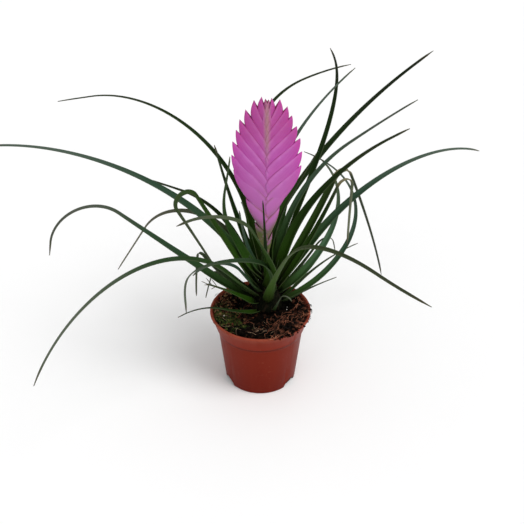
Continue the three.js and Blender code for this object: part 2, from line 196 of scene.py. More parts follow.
def scaled(tree, vector, scale):
    """The vector squeezed or stretched along its axes."""
    return add_node(tree, "Mapping", {"Vector": vector, "Scale": scale}).outputs["Vector"]


def ranged(tree, value, start, end, low=0.0, high=1.0, kind="LINEAR"):
    """A mask that goes from low to high while the value goes from start to end."""
    limits = {"Value": value, "From Min": start, "From Max": end, "To Min": low, "To Max": high}
    return add_node(tree, "MapRange", limits, interpolation_type=kind).outputs["Result"]


def reckoned(tree, operation, first, second=0.0, clamped=False):
    """One sum of two masks or numbers."""
    return add_node(tree, "Math", {0: first, 1: second}, operation=operation, use_clamp=clamped).outputs[0]


def blended(tree, mask, under, over):
    """The under colour where the mask is 0, the over colour where it is 1."""
    under, over = (c if isinstance(c, bpy.types.NodeSocket) else (*c, 1) for c in (under, over))
    return add_node(tree, "Mix", {"Factor": mask, 6: under, 7: over}, data_type="RGBA").outputs[2]


def roughen(tree, shader, height, strength, distance):
    """Fine relief on a material, by the height of a pattern."""
    relief = add_node(tree, "Bump", {"Height": height, "Strength": strength, "Distance": distance})
    tree.links.new(relief.outputs["Normal"], shader.inputs["Normal"])


mottle = bpy.data.node_groups.new("mottle", "ShaderNodeTree")
mottle.interface.new_socket("Vector", in_out="INPUT", socket_type="NodeSocketVector")
for name in ("Scale", "From", "To"):
    mottle.interface.new_socket(name, in_out="INPUT", socket_type="NodeSocketFloat")
mottle.interface.new_socket("Mask", in_out="OUTPUT", socket_type="NodeSocketFloat")
given = mottle.nodes.new("NodeGroupInput")
speckle = add_node(mottle, "TexNoise", {"Vector": given.outputs["Vector"], "Scale": given.outputs["Scale"],
                                        "Detail": 6.0, "Roughness": 0.6}).outputs["Fac"]
speckled = ranged(mottle, speckle, given.outputs["From"], given.outputs["To"], kind="SMOOTHSTEP")
mottle.links.new(speckled, mottle.nodes.new("NodeGroupOutput").inputs["Mask"])


def mottle_mask(tree, vector, scale, start, end):
    """The share, from 0 to 1, of a speckled pattern of that scale over the surface."""
    group = tree.nodes.new("ShaderNodeGroup")
    group.node_tree = mottle
    tree.links.new(vector, group.inputs["Vector"])
    for key, value in (("Scale", scale), ("From", start), ("To", end)):
        group.inputs[key].default_value = value
    return group.outputs["Mask"]


pot_plastic, tree, shader = new_material("pot_plastic", roughness=0.42, Specular_IOR_Level=0.035)
place = object_place(tree)
height = add_node(tree, "SeparateXYZ", {"Vector": place}).outputs["Z"]
# Colour up the pot: darker towards the bottom, a dark band just under the collar's step that is painted
# shadow, a lighter collar, and a paler top of the rim that is painted highlight.
plastic_and_painted_light = ramp(tree, ranged(tree, height, 0.0, POT_HEIGHT * MM),
                   (0.0, (0.134, 0.0085, 0.0025)), (0.55, (0.170, 0.0145, 0.005)),
                   (0.732, (0.170, 0.0150, 0.005)), (0.752, (0.085, 0.007, 0.003)),
                   (0.768, (0.155, 0.013, 0.005)), (0.780, (0.204, 0.020, 0.008)),
                   (0.9, (0.202, 0.021, 0.008)), (1.0, (0.280, 0.060, 0.034)))
streaks = mottle_mask(tree, scaled(tree, place, (1, 1, 0.12)), 160.0, 0.42, 0.72)
faint = reckoned(tree, "MULTIPLY", streaks, 0.4)
streaked = blended(tree, faint, plastic_and_painted_light, (0.182, 0.022, 0.011))
dust = mottle_mask(tree, place, 420.0, 0.60, 0.78)
tree.links.new(blended(tree, dust, streaked, (0.235, 0.052, 0.033)), shader.inputs["Base Color"])
tree.links.new(ranged(tree, streaks, 0.0, 1.0, 0.36, 0.52), shader.inputs["Roughness"])
skin = add_node(tree, "TexNoise", {"Vector": place, "Scale": 900.0, "Detail": 3.0}).outputs["Fac"]
roughen(tree, shader, skin, 0.12, 0.0002)

# from the middle of the bottom outwards, up the outside, over the rim and down the inside
bm = turned([
    (0, 0.6), (BODY_BOTTOM_RADIUS - 3.4, 0.6), (BODY_BOTTOM_RADIUS - 2.8, 0), (BODY_BOTTOM_RADIUS - 0.9, 0),
    (BODY_BOTTOM_RADIUS - 0.25, 0.3), (BODY_BOTTOM_RADIUS + 0.05, 1),
    (BODY_TOP_RADIUS, COLLAR_FOOT - 1), (BODY_TOP_RADIUS + 0.3, COLLAR_FOOT - 0.3),
    (collar_radius(COLLAR_LINE) - 0.65, COLLAR_LINE - 0.5),
    (collar_radius(COLLAR_LINE) - 0.3, COLLAR_LINE - 0.2),
    (collar_radius(COLLAR_LINE), COLLAR_LINE + 0.15),
    (collar_radius(COLLAR_LINE + 1.2) + 0.05, COLLAR_LINE + 1.2),
    (COLLAR_TOP_RADIUS - 0.25, POT_HEIGHT - RIM_DEPTH - 0.4),
    (COLLAR_TOP_RADIUS + 0.15, POT_HEIGHT - RIM_DEPTH),
    (RIM_RADIUS - 0.35, POT_HEIGHT - RIM_DEPTH + 0.15), (RIM_RADIUS, POT_HEIGHT - RIM_DEPTH + 0.6),
    (RIM_RADIUS, POT_HEIGHT - 0.8), (RIM_RADIUS - 0.25, POT_HEIGHT - 0.25), (RIM_RADIUS - 0.8, POT_HEIGHT),
    (RIM_RADIUS - 1.6, POT_HEIGHT - 0.1), (RIM_RADIUS - 2.1, POT_HEIGHT - 0.7),
    (pot_inner_radius(POT_HEIGHT - RIM_DEPTH), POT_HEIGHT - RIM_DEPTH),
    (pot_inner_radius(COLLAR_FOOT + 1), COLLAR_FOOT + 1), (pot_inner_radius(COLLAR_FOOT), COLLAR_FOOT),
    (pot_inner_radius(2.4), 2.4), (pot_inner_radius(2.4) - 0.8, 1.6), (0, 1.6),
], POT_ROUND_STEPS)
pot = object_from(bm, "pot_moulding", pot_plastic)
bm = bmesh.new()
for bearing in NOTCH_BEARINGS:
    arch = bmesh.ops.create_circle(bm, cap_ends=True, segments=40, radius=NOTCH_RADIUS * MM)["verts"]
    bmesh.ops.scale(bm, vec=(1, NOTCH_SQUASH, 1), verts=arch)
    bmesh.ops.rotate(bm, matrix=Matrix.Rotation(math.radians(90), 3, "X"), verts=arch)
    pushed = bmesh.ops.extrude_face_region(bm, geom=[arch[0].link_faces[0]])
    moved = [v for v in pushed["geom"] if isinstance(v, bmesh.types.BMVert)]
    bmesh.ops.translate(bm, vec=(0, NOTCH_CUT_LENGTH * MM, 0), verts=moved)
    bmesh.ops.translate(bm, vec=(0, NOTCH_CUT_START * MM, 0), verts=arch + moved)
    bmesh.ops.rotate(bm, matrix=Matrix.Rotation(math.radians(bearing - 90), 3, "Z"), verts=arch + moved)
bmesh.ops.recalc_face_normals(bm, faces=bm.faces)
cutter = object_from(bm, "notch_cutter")
cut = pot.modifiers.new("notches", "BOOLEAN")
cut.operation, cut.object, cut.solver = "DIFFERENCE", cutter, "EXACT"
bpy.context.view_layer.update()
cut_mesh = bpy.data.meshes.new_from_object(pot.evaluated_get(bpy.context.evaluated_depsgraph_get()))
pot.modifiers.clear()
pot.data = cut_mesh
bpy.data.objects.remove(cutter)
for polygon in cut_mesh.polygons:
    polygon.use_smooth = True
cut_mesh.set_sharp_from_angle(angle=math.radians(50))
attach(pot, "root")
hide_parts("pot")


# Potting mix. Damp dark bark and coir fills the pot to just under the rim, climbs to the wall, is heaped
# at the front right, and has crumbs of several sizes over its whole top.
CROWN_X, CROWN_Y = 6, 12
SOIL_TOP = 65.5
SOIL_FOOT = 1.9
SOIL_GAP = 0.3
SOIL_RINGS, SOIL_ROUND_STEPS = 90, 200
SIDE_HEAP, SIDE_HEAP_BEARING = 7, -60
WALL_CLIMB, CLIMB_FROM, CLIMB_OVER = 6.0, 22, 15
HEAP, HEAP_X, HEAP_Y, HEAP_SPREAD = 5.5, 21, -24, 150
ROUGH_X, ROUGH_Y, ROUGH_SPREAD = 23, -26, 220
MOUND, MOUND_RADIUS = 1.6, 18


def mix_height(x, y):
    """Height of the mix in mm over a spot, before its crumbs."""
    bearing = math.radians(SIDE_HEAP_BEARING)
    towards = (x * math.cos(bearing) + y * math.sin(bearing)) / RIM_RADIUS
    climb = min(1.0, max(0.0, (math.hypot(x, y) - CLIMB_FROM) / CLIMB_OVER))
    raised = math.hypot(SIDE_HEAP * max(0.0, towards) ** 1.5, WALL_CLIMB * climb * climb * (3 - 2 * climb))
    raised += HEAP * math.exp(-((x - HEAP_X) ** 2 + (y - HEAP_Y) ** 2) / HEAP_SPREAD)
    from_crown = math.hypot(x - CROWN_X, y - CROWN_Y) / MOUND_RADIUS
    mound = MOUND * math.exp(-from_crown * from_crown)
    lumps = 0.7 * math.sin(x * 0.31 + 1) * math.cos(y * 0.27) + 0.4 * math.sin(x * 0.7 - y * 0.5)
    return SOIL_TOP + raised + mound + lumps


def crumb_height(x, y):
    """Height of the crumbs themselves over a spot, in mm; they are taller on the heap."""
    coarse = noise.turbulence(Vector((x * 0.16, y * 0.16, 3.1)), 3, True)
    fine = noise.turbulence(Vector((x * 0.55, y * 0.55, 9.4)), 2, True)
    heaped = math.exp(-((x - ROUGH_X) ** 2 + (y - ROUGH_Y) ** 2) / ROUGH_SPREAD)
    return (2.8 + 3.2 * heaped) * coarse + (1.0 + 0.8 * heaped) * fine - 2.0 - 1.6 * heaped


bark_mix, tree, shader = new_material("bark_mix", roughness=0.9, Specular_IOR_Level=0.02)
place = object_place(tree)
crumb_cells = add_node(tree, "TexVoronoi", {"Vector": place, "Scale": 420.0}).outputs["Color"]
crumb_lot = add_node(tree, "SeparateColor", {"Color": crumb_cells}).outputs[0]
crumb_colour = ramp(tree, crumb_lot, (0.0, (0.002, 0.0016, 0.0013)), (0.6, (0.005, 0.0035, 0.0025)),
                    (0.85, (0.018, 0.009, 0.005)), (1.0, (0.07, 0.030, 0.017)))
dry = mottle_mask(tree, place, 60.0, 0.40, 0.66)
tree.links.new(blended(tree, dry, (0.003, 0.0024, 0.002), crumb_colour), shader.inputs["Base Color"])
rough = add_node(tree, "TexNoise", {"Vector": place, "Scale": 700.0, "Detail": 6.0}).outputs["Fac"]
roughen(tree, shader, rough, 0.9, 0.0012)

edge = pot_inner_radius(SOIL_TOP - 3) - SOIL_GAP
outline = [(0, SOIL_FOOT), (pot_inner_radius(SOIL_FOOT) - SOIL_GAP, SOIL_FOOT),
           (pot_inner_radius(COLLAR_FOOT) - SOIL_GAP, COLLAR_FOOT)]
outline += [(edge * k / SOIL_RINGS, SOIL_TOP) for k in range(SOIL_RINGS, -1, -1)]
bm = turned(outline, SOIL_ROUND_STEPS)
for vert in bm.verts:
    if vert.co.z > (SOIL_TOP - 1) * MM:
        x, y = vert.co.x / MM, vert.co.y / MM
        vert.co.z = (mix_height(x, y) + crumb_height(x, y)) * MM
        free = 1 - (math.hypot(x, y) / edge) ** 8
        vert.co.x += 0.5 * MM * noise.noise(Vector((x * 0.9, y * 0.9, 1))) * free
        vert.co.y += 0.5 * MM * noise.noise(Vector((x * 0.9, y * 0.9, 7))) * free
bmesh.ops.recalc_face_normals(bm, faces=bm.faces)
mix = object_from(bm, "potting_mix", bark_mix)
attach(mix, "root")
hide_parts("soil")


# Bark chips and crumbs. Broken bits of bark, most of them 1 to 3 mm, lie loose all over the mix, and a
# few on the rim and against the outside of it at the front right, where the mix spilt over.
DARK, RED, TAN = 0, 1, 2
MIX_REACH = 41
SCATTERED_CHIPS, LEFT_CHIPS, HEAP_CHIPS, RIM_CHIPS, STUCK_CHIPS = 750, 400, 170, 230, 9
LEFT_FROM, LEFT_TO = 125, 225
LEFT_SHARES, OTHER_SHARES = (24, 40, 36), (94, 6, 0)
draw = random.Random(11)


def on_mix(radius, bearing):
    """A spot on the mix in mm, by its distance and bearing from the middle of the pot."""
    x, y = radius * math.cos(math.radians(bearing)), radius * math.sin(math.radians(bearing))
    return x, y, mix_height(x, y) + crumb_height(x, y)


def chip(bm, at, size, flat, colour):
    """One broken piece: a cube with its corners knocked about, turned anyhow."""
    made = bmesh.ops.create_cube(bm, size=1)["verts"]
    turn = Matrix.Rotation(draw.uniform(0, 6.28), 3, "Z") @ Matrix.Rotation(draw.gauss(0, 0.5), 3, "X")
    for vert in made:
        vert.co = Vector(c * draw.uniform(0.55, 1.25) for c in vert.co)
        vert.co = turn @ Vector((vert.co.x * size, vert.co.y * size * 0.6, vert.co.z * flat))
        vert.co = (vert.co + Vector(at)) * MM
    for face in {face for vert in made for face in vert.link_faces}:
        face.material_index = colour


def chip_material(name, dark, pale):
    """Bark of a colour, with a fibrous grain."""
    material, tree, shader = new_material(name, roughness=0.85, Specular_IOR_Level=0.025)
    grain = mottle_mask(tree, object_place(tree), 500.0, 0.35, 0.7)
    tree.links.new(ramp(tree, grain, (0.0, dark), (1.0, pale)), shader.inputs["Base Color"])
    roughen(tree, shader, grain, 0.6, 0.0005)
    return material


chip_looks = [
    chip_material("bark_dark", (0.0018, 0.0014, 0.0012), (0.008, 0.0055, 0.004)),
    chip_material("bark_red", (0.034, 0.012, 0.007), (0.13, 0.044, 0.024)),
    chip_material("bark_tan", (0.14, 0.075, 0.035), (0.34, 0.20, 0.10)),
]
bm = bmesh.new()
for k in range(SCATTERED_CHIPS + LEFT_CHIPS):
    radius, bearing = MIX_REACH * math.sqrt(draw.random()), draw.uniform(0, 360)
    if k >= SCATTERED_CHIPS:
        radius, bearing = draw.uniform(26, MIX_REACH + 0.5), draw.gauss(163, 17)
    at_left = LEFT_FROM < bearing < LEFT_TO
    size = 0.7 + draw.expovariate(2.2) if at_left else min(5.5, 0.9 + draw.expovariate(0.9))
    colour = draw.choices((DARK, RED, TAN), LEFT_SHARES if at_left else OTHER_SHARES)[0]
    x, y, z = on_mix(radius, bearing)
    chip(bm, (x, y, z + 0.15 * size), size, size * draw.uniform(0.25, 0.5), colour)
for k in range(HEAP_CHIPS):
    x, y = draw.gauss(22, 8), draw.gauss(-25, 8)
    size = min(4.5, 1.2 + draw.expovariate(0.9))
    if math.hypot(x, y) < MIX_REACH:
        level = mix_height(x, y) + crumb_height(x, y) + draw.uniform(0.4, 1.8)
        chip(bm, (x, y, level), size, size * 0.45, draw.choice((DARK,) * 6 + (RED,)))
for k in range(RIM_CHIPS):
    bearing, radius = draw.gauss(-56, 10), draw.uniform(40.5, 46)
    size = min(3.2, 0.7 + draw.expovariate(1.3))
    x, y = radius * math.cos(math.radians(bearing)), radius * math.sin(math.radians(bearing))
    over_rim = draw.uniform(-1.6, 2.0) if radius > 44.6 else draw.uniform(0.2, 2.8)
    chip(bm, (x, y, POT_HEIGHT + over_rim), size, size * 0.5, draw.choice((DARK, DARK, DARK, RED)))
for k in range(STUCK_CHIPS):
    bearing, size = math.radians(draw.gauss(-15, 2.0)), 0.4 + draw.expovariate(2.2)
    radius = draw.uniform(44.4, 46)
    at = (radius * math.cos(bearing), radius * math.sin(bearing), draw.uniform(67.5, 72.5))
    chip(bm, at, size, size * 0.6, draw.choice((DARK, RED)))
chips = object_from(bm, "bark_chips", *chip_looks, smooth=False)
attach(chips, "root")


# Coir fibres and roots. Fine reddish-brown threads of shredded coconut husk run through the mix, most of
# them at the front right, where they curl up and hang out over the rim; pale dead roots lie in front.
THREAD_POINTS = 8
RIM_TOP_RADIUS, THREAD_REACH = 42.5, 46


def thread_curve(name, radius, roundness):
    """An empty curve whose threads become tubes of this radius in mm."""
    curve = bpy.data.curves.new(name, "CURVE")
    curve.dimensions = "3D"
    curve.bevel_depth = radius * MM
    curve.bevel_resolution = roundness
    curve.use_fill_caps = True
    return curve


def thread(curve, path, radius):
    """One more thread on the curve, thinner at both ends."""
    spline = curve.splines.new("POLY")
    spline.points.add(len(path) - 1)
    for point, at in zip(spline.points, path):
        point.co = (*(Vector(at) * MM), 1)
        point.radius = radius
    spline.points[0].radius = spline.points[-1].radius = radius * 0.4


def mesh_of_curve(curve, name, material):
    """The curve's tubes as a mesh object of their own."""
    holder = bpy.data.objects.new(name + "_curve", curve)
    scene.collection.objects.link(holder)
    bpy.context.view_layer.update()
    mesh = bpy.data.meshes.new_from_object(holder.evaluated_get(bpy.context.evaluated_depsgraph_get()))
    bpy.data.objects.remove(holder)
    mesh.materials.clear()
    mesh.materials.append(material)
    piece = bpy.data.objects.new(name, mesh)
    scene.collection.objects.link(piece)
    return piece


def mottled_material(name, roughness, shine, scale, start, end, *stops):
    """A material coloured by one speckled pattern."""
    material, tree, shader = new_material(name, roughness=roughness, Specular_IOR_Level=shine)
    mask = mottle_mask(tree, object_place(tree), scale, start, end)
    tree.links.new(ramp(tree, mask, *stops), shader.inputs["Base Color"])
    return material


coir = mottled_material("coir_fibre", 0.75, 0.15, 130.0, 0.35, 0.68,
                        (0.0, (0.004, 0.002, 0.0015)), (0.36, (0.022, 0.009, 0.005)),
                        (0.55, (0.14, 0.042, 0.022)), (1.0, (0.40, 0.16, 0.09)))
coir_light = mottled_material("coir_fibre_light", 0.75, 0.15, 130.0, 0.35, 0.68,
                              (0.0, (0.035, 0.012, 0.007)), (1.0, (0.40, 0.15, 0.08)))
root_pale = mottled_material("pale_root", 0.7, 0.15, 150.0, 0.35, 0.68,
                             (0.0, (0.08, 0.036, 0.018)), (1.0, (0.62, 0.42, 0.27)))
# name, material, how many, bearing and its spread, nearest and farthest, radius, step, lift
for name, material, count, middle, spread, near, far, thick, stride, lift_most in (
        ("coir_fibres_heap", coir, 80, -50, 17, 22, 44, 0.20, 2.1, 4.6),
        ("coir_fibres_long", coir_light, 30, -50, 15, 20, 42, 0.21, 3.1, 5.4),
        ("coir_fibres_loose", coir, 110, 160, 60, 8, 41, 0.18, 1.5, 1.0),
        ("pale_roots", root_pale, 20, -98, 26, 20, 41, 0.16, 2.4, 2.2),
        ("coir_fibres_right", coir, 75, -6, 15, 30, 43, 0.22, 1.5, 1.6)):
    curve = thread_curve(name, thick, 0)
    for k in range(count):
        bearing, radius = draw.gauss(middle, spread), draw.uniform(near, far)
        x, y, z = on_mix(radius, bearing)
        heading, lift, curl = draw.uniform(0, 6.28), draw.uniform(0.2, lift_most), draw.gauss(0, 0.4)
        step = draw.uniform(0.7, 1.3) * stride
        path = []
        for n in range(THREAD_POINTS):
            ground = mix_height(x, y) + crumb_height(x, y)
            if math.hypot(x, y) > RIM_TOP_RADIUS:
                ground = max(ground, POT_HEIGHT + 0.4) - 1.1 * max(0, math.hypot(x, y) - 45)
            path.append((x, y, ground + lift * math.sin(n * 0.45) ** 2 + 0.2))
            heading += curl + draw.gauss(0, 0.3)
            x, y = x + step * math.cos(heading), y + step * math.sin(heading)
            reach = math.hypot(x, y)
            if reach > THREAD_REACH:
                x, y = x * THREAD_REACH / reach, y * THREAD_REACH / reach
        thread(curve, path, draw.uniform(0.55, 1.25))
    fibres = mesh_of_curve(curve, name, material)
    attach(fibres, "root")


# Perlite. White puffed grains of volcanic glass, about 1 mm across, that the mix is lightened with. A few
# lie on top of it, most of them to the right of the crown.
GRAINS, GRAINS_AT_CROWN = 19, 11
perlite_white = mottled_material("perlite", 0.95, 0.1, 900.0, 0.3, 0.7,
                                 (0.0, (0.42, 0.37, 0.32)), (1.0, (0.80, 0.77, 0.72)))
bm = bmesh.new()
for k in range(GRAINS):
    if k < GRAINS_AT_CROWN:
        radius, bearing = draw.uniform(19, 27), draw.gauss(24, 13)
    else:
        radius, bearing = draw.uniform(20, 41), draw.uniform(150, 400)
    x, y, z = on_mix(radius, bearing)
    made = bmesh.ops.create_icosphere(bm, subdivisions=1, radius=draw.uniform(0.3, 0.65) * MM)["verts"]
    for vert in made:
        vert.co *= draw.uniform(0.8, 1.2)
        vert.co += Vector((x, y, z + 0.5)) * MM
perlite = object_from(bm, "perlite_grains", perlite_white, smooth=False)
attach(perlite, "root")


# Moss. Short dark green tufts, brown and straw-coloured in spots, that have grown on the damp mix at the
# left of the pot. Each tuft is a few thin pointed stalks.
TUFTS = 250
moss_green = mottled_material("moss", 0.7, 0.12, 260.0, 0.3, 0.7, (0.0, (0.010, 0.022, 0.004)),
                              (0.55, (0.040, 0.068, 0.012)), (0.8, (0.12, 0.15, 0.03)),
                              (1.0, (0.30, 0.27, 0.08)))
bm = bmesh.new()
for k in range(TUFTS):
    radius, bearing = draw.uniform(20, 41), draw.gauss(203, 17)
    x, y, z = on_mix(radius, bearing)
    for n in range(draw.randint(5, 10)):
        lean = Matrix.Rotation(draw.gauss(0, 0.55), 4, "X") @ Matrix.Rotation(draw.gauss(0, 0.55), 4, "Y")
        at = Vector((x + draw.gauss(0, 0.8), y + draw.gauss(0, 0.8), z + 0.6)) * MM
        thick, tall = draw.uniform(0.16, 0.30) * MM, draw.uniform(1.2, 2.8) * MM
        bmesh.ops.create_cone(bm, cap_ends=True, segments=3, radius1=thick, radius2=0, depth=tall,
                              matrix=Matrix.Translation(at) @ lean)
moss = object_from(bm, "moss_tufts", moss_green, smooth=False)
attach(moss, "root")


# Stem. The short thick stem that the leaves sit around, wrapped in the dark remains of old leaf bases
# and rooted in the mix. Its near-black colour is partly their own and partly painted shade of the crown.
STEM_FOOT_RADIUS, STEM_TOP_RADIUS = 14.2, 4.8
STEM_FOOT_HEIGHT, STEM_TOP_HEIGHT = 68.5, 105
STEM_PEG_FOOT, STEM_PEG_RADIUS = 46.5, 5
OLD_SHEATHS, SHEATH_SHARE, SHEATH_PROUD = 9, 0.85, 0.15
stem_tissue, tree, shader = new_material("stem_tissue", roughness=0.8, Specular_IOR_Level=0.06)
husk = mottle_mask(tree, scaled(tree, object_place(tree), (1, 1, 0.2)), 420.0, 0.35, 0.65)
# near-black husk: partly the old sheaths' own dark brown, partly painted shade deep in the crown
husk_and_crown_shade = ramp(tree, husk, (0.0, (0.002, 0.003, 0.001)), (0.6, (0.005, 0.006, 0.002)),
                   (1.0, (0.022, 0.014, 0.008)))
tree.links.new(husk_and_crown_shade, shader.inputs["Base Color"])
roughen(tree, shader, husk, 0.8, 0.001)
outline = [(0, STEM_PEG_FOOT), (STEM_PEG_RADIUS - 0.6, STEM_PEG_FOOT),
           (STEM_PEG_RADIUS, STEM_PEG_FOOT + 1.5), (STEM_PEG_RADIUS, STEM_FOOT_HEIGHT - 1),
           (STEM_FOOT_RADIUS - 2, STEM_FOOT_HEIGHT - 0.6)]
for k in range(OLD_SHEATHS):
    for share, proud in ((k / OLD_SHEATHS, 0.0), ((k + SHEATH_SHARE) / OLD_SHEATHS, SHEATH_PROUD)):
        radius = STEM_FOOT_RADIUS + (STEM_TOP_RADIUS - STEM_FOOT_RADIUS) * share
        height = STEM_FOOT_HEIGHT + 0.8 + (STEM_TOP_HEIGHT - STEM_FOOT_HEIGHT - 1) * share
        outline.append((radius - 0.2 + proud, height))
outline += [(STEM_TOP_RADIUS - 1, STEM_TOP_HEIGHT), (0, STEM_TOP_HEIGHT)]
stem = object_from(turned(outline, 48, CROWN_X, CROWN_Y), "stem_and_old_sheaths", stem_tissue)
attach(stem, "root")
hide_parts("stem")


# Leaves. Long stiff tapering straps, folded lengthwise into a shallow channel; dull deep green above,
# greyer below, with brown streaks on the clasping base and a withered tip. All grow from the stem.
LEAF_ALONG, LEAF_ACROSS = 64, 10
BEND_SHARE = 1
STEPS_BETWEEN = 4
FOLD_AT_BASE, FOLD_ALONG, FOLD_OPENS = 40, 22, 4
BROADER, TIP_SHARE, TAPER = 1.27, 0.16, 1.8
TURNS_BY = 0.18
STEM_CLEARANCE, FOOT_WIDTH_SHARE = 0.7, 0.72
CHANNEL_ROUNDNESS = 1.3
LEAF_THICKNESS = 0.7
PATTERN_SHIFT = 40
# length, width, bearing at the crown, swing, rise, droop, and where along it the bend starts and ends,
# as in the solids; then how far the blade is turned over low down and at its tip, how full it has
# grown, and its colouring
LEAVES = [
    (90, 5, 238, -55, 30, 58, 0.56, 0.94, -58, 15, 0.85, "dark"),
    (86, 4, 24, -2, 38, 27, 0.3, 1, 12, 10, 1, "grey"),
    (34, 4, 297, 42, 66, 130, 0.6, 0.98, 0, 0, 1, "grey"),
    (55, 4, 355, 2, 35, 9, 0.3, 1, 25, 20, 0.85, "grey"),
    (79, 4, 183, -53, 42, 115, 0.48, 0.6, -15, 0, 1.25, "grey"),
    (204, 9, 348, 175, 36, 21, 0.26, 0.82, 20, 0, 0.8, "blue"),
    (246, 10, 201, -3, 46, 125, 0.66, 0.95, -46, -38, 0.9, "fresh"),
    (60, 6, 222, -30, 43, 16, 0.33, 1, -50, -10, 1.25, "bright"),
    (110, 7, 88, 10, 36, 60, 0.2, 1, 8, -6, 1, "deep"),
    (90, 7, 134, -30, 44, 80, 0.2, 1, -10, 8, 1, "deep"),
    (89, 5, 28, 14, 43, 118, 0.6, 0.89, 10, 0, 1, "grey"),
    (274, 9, 275, 46, 55, 61, 0.37, 0.83, 28, 22, 1.15, "olive"),
    (118, 5, 189, -95, 37, 117, 0.49, 0.57, -10, 0, 1.35, "grey"),
    (157, 9.5, 3, 125, 43, 30, 0.25, 1, 25, 0, 1.0, "teal"),
    (276, 10, 217, 11, 51, 108, 0.18, 1, -26, -4, 0.86, "ashen"),
    (140, 8, 74, 8, 50, 80, 0.2, 1, -8, 10, 1, "deep"),
    (110, 7, 110, -14, 50, 80, 0.2, 1, 6, -10, 1, "blue"),
    (261, 10, 24, 13, 51, 78, 0.17, 1, 18, 34, 0.97, "blue"),
    (174, 9, 284, -184, 67, 164, 0.22, 0.93, -60, 22, 0.9, "ashen"),
    (191, 8, 355, 60, 63, 155, 0.58, 0.69, 30, -30, 1.1, "kinked_pale"),
    (84, 8.5, 222, -35, 58, 103, 0.43, 0.97, -22, -18, 1, "blue"),
    (294, 8, 26, 37, 57, 121, 0.36, 0.44, 16, 2, 1.15, "kinked_dark"),
    (228, 11, 198, 18, 64, 180, 0.52, 0.65, -40, -48, 0.84, "turned"),
    (165, 9, 96, -4, 58, 90, 0.15, 1, 8, -8, 1, "deep"),
    (204, 8, 158, 9, 63, 122, 0.18, 0.71, -24, -34, 0.95, "brown"),
    (278, 10, 43, 56, 65, 64, 0.06, 0.89, -52, 20, 1.0, "black"),
    (167, 11, 283, -120, 62, 92, 0.57, 0.94, -22, -28, 1.1, "turned"),
    (284, 10, 186, -22, 69, 82, 0, 1, -34, -34, 0.97, "blue"),
    (190, 12, 4, 24, 80, 65, 0.11, 0.9, 48, 0, 1.04, "dark"),
    (280, 9, 121, -101, 60, 56, 0.03, 0.8, 0, 14, 1, "dark"),
    (141, 7, 157, 7, 61, 50, 0.32, 0.76, -26, -16, 1.15, "dark"),
    (312, 10, 71, -35, 72.5, 55, 0.08, 0.2, -55, 60, 1.2, "black"),
    (131, 7, 190, 31, 66, -36, 0.46, 0.77, -60, -70, 1.6, "deep"),
    (128, 7.2, 159, 1, 69, -7, 0.05, 1, -20, -16, 1.42, "deep"),
    (209, 9.6, 38, -20, 77, 52, 0.13, 0.66, 22, 6, 0.88, "slate"),
    (101, 5, 266, -6, 74, 0, 0.5, 1, 0, 0, 1, "shade"),
    (62, 3.6, 72, -16, 76, 13, 0.2, 1, 0, 0, 1, "bright"),
    (67, 6, 183, -10, 67, -18, 0.05, 1, -36, -30, 1.3, "blue"),
    (206, 9, 97, -81, 83, 44, 0.02, 0.42, 0, 12, 0.95, "blue"),
    (281, 10, 152, 6, 77, 94, 0.18, 0.87, 0, 0, 0.85, "dark"),
    (115, 7, 48, 5, 87, 51, 0.12, 0.63, -42, -42, 0.9, "dark"),
]
# upper side, under side, outer half, and where along it the blade is kinked and dried, or -1 for nowhere
LEAF_COLOURS = {
    "shade": ((0.005, 0.014, 0.002), (0.009, 0.020, 0.004), (0.020, 0.030, 0.008), -1),
    "black": ((0.006, 0.019, 0.002), (0.010, 0.026, 0.004), (0.006, 0.009, 0.003), -1),
    "dark": ((0.006, 0.020, 0.001), (0.013, 0.029, 0.006), (0.018, 0.024, 0.010), -1),
    "deep": ((0.010, 0.038, 0.003), (0.026, 0.056, 0.017), (0.034, 0.056, 0.024), -1),
    "olive": ((0.030, 0.056, 0.010), (0.048, 0.074, 0.024), (0.038, 0.044, 0.026), -1),
    "bright": ((0.018, 0.064, 0.002), (0.042, 0.086, 0.014), (0.055, 0.080, 0.030), -1),
    # painted light: a low leaf at the shaded left, coloured lighter so that it looks lit
    "fresh": ((0.019, 0.052, 0.020), (0.050, 0.080, 0.052), (0.082, 0.086, 0.070), -1),
    "turned": ((0.014, 0.042, 0.003), (0.026, 0.055, 0.011), (0.076, 0.092, 0.054), -1),
    "blue": ((0.020, 0.052, 0.027), (0.066, 0.100, 0.075), (0.084, 0.112, 0.088), -1),
    "slate": ((0.028, 0.062, 0.030), (0.070, 0.104, 0.074), (0.062, 0.070, 0.060), -1),
    "teal": ((0.046, 0.108, 0.050), (0.085, 0.130, 0.090), (0.085, 0.110, 0.066), -1),
    "ashen": ((0.016, 0.044, 0.012), (0.055, 0.080, 0.048), (0.110, 0.128, 0.096), -1),
    "grey": ((0.044, 0.066, 0.030), (0.080, 0.100, 0.064), (0.105, 0.120, 0.084), -1),
    "brown": ((0.055, 0.060, 0.036), (0.090, 0.090, 0.066), (0.175, 0.165, 0.125), -1),
    "kinked_pale": ((0.010, 0.028, 0.003), (0.022, 0.042, 0.010), (0.180, 0.195, 0.130), 0.62),
    "kinked_dark": ((0.018, 0.036, 0.006), (0.040, 0.055, 0.028), (0.030, 0.036, 0.022), 0.40),
}

